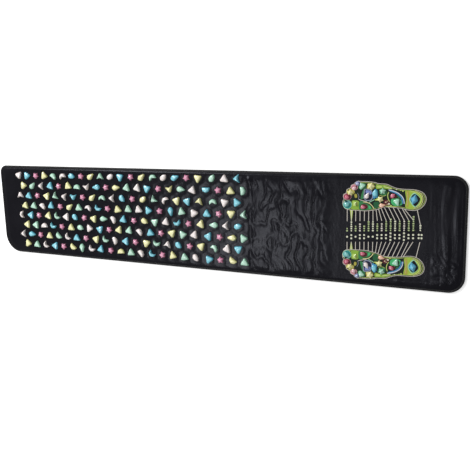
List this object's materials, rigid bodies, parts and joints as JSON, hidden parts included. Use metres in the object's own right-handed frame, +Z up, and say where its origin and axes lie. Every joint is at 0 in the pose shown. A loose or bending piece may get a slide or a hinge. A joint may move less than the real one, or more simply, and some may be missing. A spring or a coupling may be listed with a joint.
{
  "type": "foot massage mat",
  "caption": "Long padded mat with rows of hard plastic pebbles to walk on and two stone-studded footprints to stand on; folds in two across its bare band.",
  "frame": {"origin": "middle of the underside, on the surface that the mat lies on", "axes": "+X along the length, from the stone field towards the footprints; +Y across the width, towards the right footprint; +Z up"},
  "size_m": [1.8, 0.35, 0.0158],
  "materials": {
    "cover": "black polyurethane leatherette, semi-gloss, soft creases",
    "foam": "black closed-cell foam, matte",
    "lining": "black non-woven backing with rubbery grip, matte",
    "binding": "black folded edge tape, stitched",
    "footprint_film": "printed transfer film, green and yellow-green",
    "field_stones": "glossy moulded plastic in white, cyan, pink, yellow and green",
    "cyan_stone": "glossy moulded plastic",
    "crimson_stone": "glossy moulded plastic",
    "yellow_stone": "glossy moulded plastic",
    "pink_stone": "glossy moulded plastic",
    "blue_stone": "glossy moulded plastic",
    "green_stone": "glossy moulded plastic",
    "lime_stone": "glossy moulded plastic",
    "orange_stone": "glossy moulded plastic"
  },
  "bodies": {
    "walk_side": {"walk_cover": "cover", "walk_foam": "foam", "walk_lining": "lining", "walk_binding": "binding", "stone_row_1": "field_stones", "stone_row_2": "field_stones", "stone_row_3": "field_stones", "stone_row_4": "field_stones", "stone_row_5": "field_stones", "stone_row_6": "field_stones", "stone_row_7": "field_stones", "stone_row_8": "field_stones", "fold_cover": "cover", "fold_foam": "foam", "fold_lining": "lining", "fold_binding_far": "binding", "fold_binding_near": "binding"},
    "foot_side": {"foot_cover": "cover", "foot_foam": "foam", "foot_lining": "lining", "foot_binding": "binding", "right_footprint_film": "footprint_film", "left_footprint_film": "footprint_film", "right_big_toe_stone": "cyan_stone", "right_second_toe_stone": "crimson_stone", "right_third_toe_stone": "yellow_stone", "right_fourth_toe_stone": "pink_stone", "right_little_toe_stone": "blue_stone", "right_ball_outer_stone": "green_stone", "right_ball_star_stone": "yellow_stone", "right_ball_centre_stone": "pink_stone", "right_ball_inner_stone": "crimson_stone", "right_toe_root_stone": "lime_stone", "right_arch_oval_stone": "cyan_stone", "right_arch_green_star_stone": "green_stone", "right_arch_yellow_star_stone": "yellow_stone", "right_arch_inner_stone": "orange_stone", "right_waist_stone": "crimson_stone", "right_heel_front_stone": "green_stone", "right_heel_stone": "blue_stone", "left_big_toe_stone": "cyan_stone", "left_second_toe_stone": "crimson_stone", "left_third_toe_stone": "yellow_stone", "left_fourth_toe_stone": "pink_stone", "left_little_toe_stone": "blue_stone", "left_ball_outer_stone": "green_stone", "left_ball_star_stone": "yellow_stone", "left_ball_centre_stone": "pink_stone", "left_ball_inner_stone": "crimson_stone", "left_toe_root_stone": "lime_stone", "left_arch_oval_stone": "cyan_stone", "left_arch_green_star_stone": "green_stone", "left_arch_yellow_star_stone": "yellow_stone", "left_arch_inner_stone": "orange_stone", "left_waist_stone": "crimson_stone", "left_heel_front_stone": "green_stone", "left_heel_stone": "blue_stone"}
  },
  "joints": [
    {"name": "mat_fold", "type": "hinge", "parent": "walk_side", "child": "foot_side", "pos_m": [0.36575, 0, 0.0173], "axis": [0, -1, 0], "range_deg": [0, 179], "deforming": ["fold_cover", "fold_foam", "fold_lining", "fold_binding_far", "fold_binding_near"]}
  ]
}
